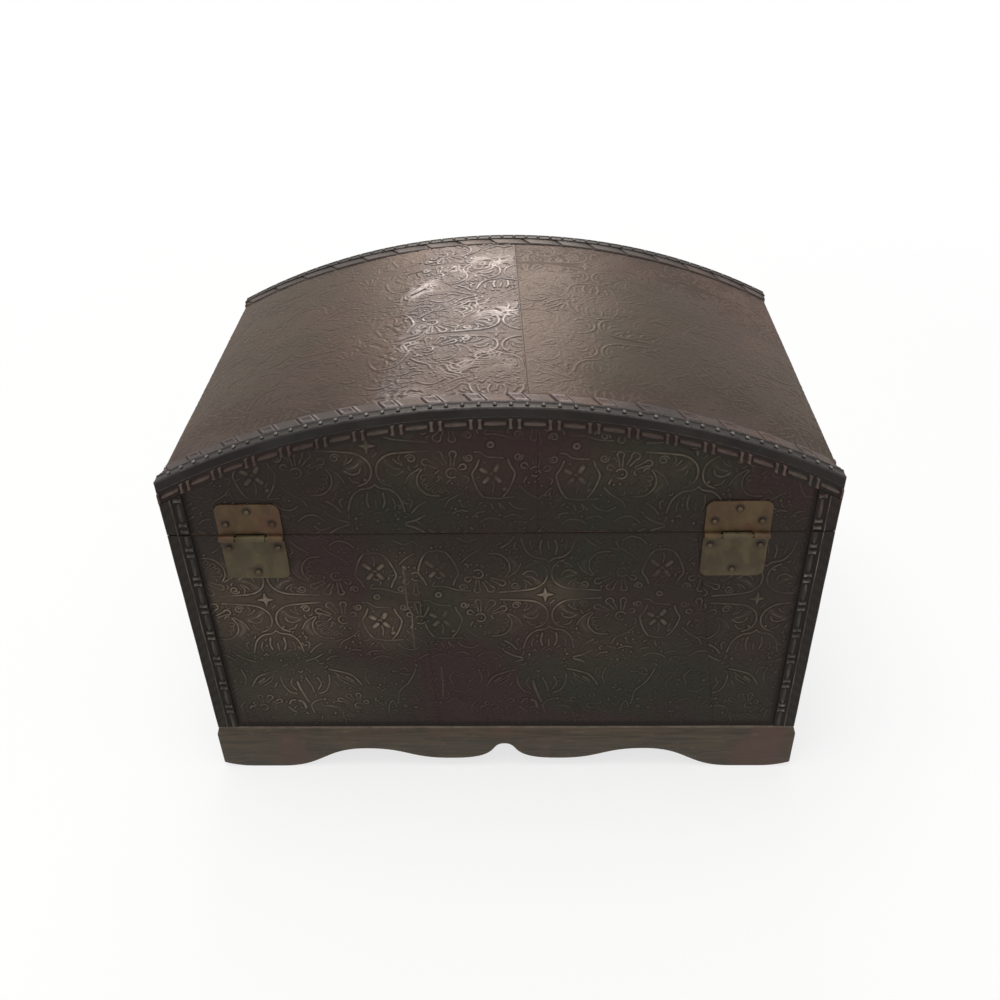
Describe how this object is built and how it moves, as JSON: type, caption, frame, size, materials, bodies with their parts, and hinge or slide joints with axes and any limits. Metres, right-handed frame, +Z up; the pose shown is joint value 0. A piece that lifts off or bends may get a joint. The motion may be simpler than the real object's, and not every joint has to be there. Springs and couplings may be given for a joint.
{
  "type": "domed trunk",
  "caption": "Small dome-lidded wooden trunk clad in embossed tin, on a scalloped plinth, with a hinged lid, swing-hook latch and end handles.",
  "frame": {"origin": "middle of the footprint, on the floor", "axes": "+Z up, the latch faces -Y, the hinges are on the +Y side, +X is the trunk's right"},
  "size_m": [0.4126, 0.2598, 0.2979],
  "materials": {
    "plinth_wood": "dark stained, satin",
    "box_wood": "plain, matt",
    "tin_dark": "embossed, aged dark patina",
    "tin_top": "embossed, worn bronze patina",
    "tin_rim": "smooth, dark",
    "nail_steel": "domed, tarnished",
    "brass": "tarnished, matt"
  },
  "bodies": {
    "body": {"base_board": "box_wood", "body_front_board": "box_wood", "body_back_board": "box_wood", "body_left_board": "box_wood", "body_right_board": "box_wood", "plinth_front_skirt": "plinth_wood", "plinth_back_skirt": "plinth_wood", "plinth_left_skirt": "plinth_wood", "plinth_right_skirt": "plinth_wood", "plinth_corner_blocks": "plinth_wood", "body_back_sheet_left": "tin_dark", "body_back_sheet_middle": "tin_dark", "body_back_sheet_right": "tin_dark", "body_front_sheet": "tin_dark", "body_left_sheet": "tin_dark", "body_right_sheet": "tin_dark", "body_back_left_strip": "tin_dark", "body_back_right_strip": "tin_dark", "body_front_left_strip": "tin_dark", "body_front_right_strip": "tin_dark", "left_hinge_lower_leaf": "brass", "right_hinge_lower_leaf": "brass", "hinge_pins": "brass", "latch_hook_plate": "brass", "latch_pivot": "brass", "left_handle_plate": "brass", "right_handle_plate": "brass", "body_nails": "nail_steel"},
    "lid": {"lid_front_board": "box_wood", "lid_back_board": "box_wood", "lid_left_rail": "box_wood", "lid_right_rail": "box_wood", "lid_dome_board": "box_wood", "lid_top_sheet_left": "tin_top", "lid_top_sheet_right": "tin_top", "lid_back_sheet_left": "tin_dark", "lid_back_sheet_right": "tin_dark", "lid_front_sheet": "tin_dark", "lid_left_sheet": "tin_dark", "lid_right_sheet": "tin_dark", "lid_back_left_strip": "tin_dark", "lid_back_right_strip": "tin_dark", "lid_front_left_strip": "tin_dark", "lid_front_right_strip": "tin_dark", "lid_back_border": "tin_dark", "lid_front_border": "tin_dark", "lid_back_rim": "tin_rim", "lid_front_rim": "tin_rim", "lid_back_rope_strip": "tin_top", "lid_front_rope_strip": "tin_top", "left_hinge_upper_leaf": "brass", "right_hinge_upper_leaf": "brass", "latch_stud_plate": "brass", "latch_stud": "brass", "lid_nails": "nail_steel", "rim_nails": "tin_rim"},
    "latch_hook": {"latch_hook": "brass"},
    "left_bail": {"left_handle_bail": "brass"},
    "right_bail": {"right_handle_bail": "brass"}
  },
  "joints": [
    {"name": "lid_hinge", "type": "hinge", "parent": "body", "child": "lid", "pos_m": [0, 0.1277, 0.208], "axis": [-1, 0, 0], "range_deg": [0, 178]},
    {"name": "latch_hook_pivot", "type": "hinge", "parent": "body", "child": "latch_hook", "pos_m": [0, -0.1283, 0.1955], "axis": [0, -1, 0], "range_deg": [-150, 180]},
    {"name": "left_bail_hinge", "type": "hinge", "parent": "body", "child": "left_bail", "pos_m": [-0.2021, 0, 0.15], "axis": [0, 1, 0], "range_deg": [0, 175]},
    {"name": "right_bail_hinge", "type": "hinge", "parent": "body", "child": "right_bail", "pos_m": [0.2021, 0, 0.15], "axis": [0, -1, 0], "range_deg": [0, 175]}
  ]
}
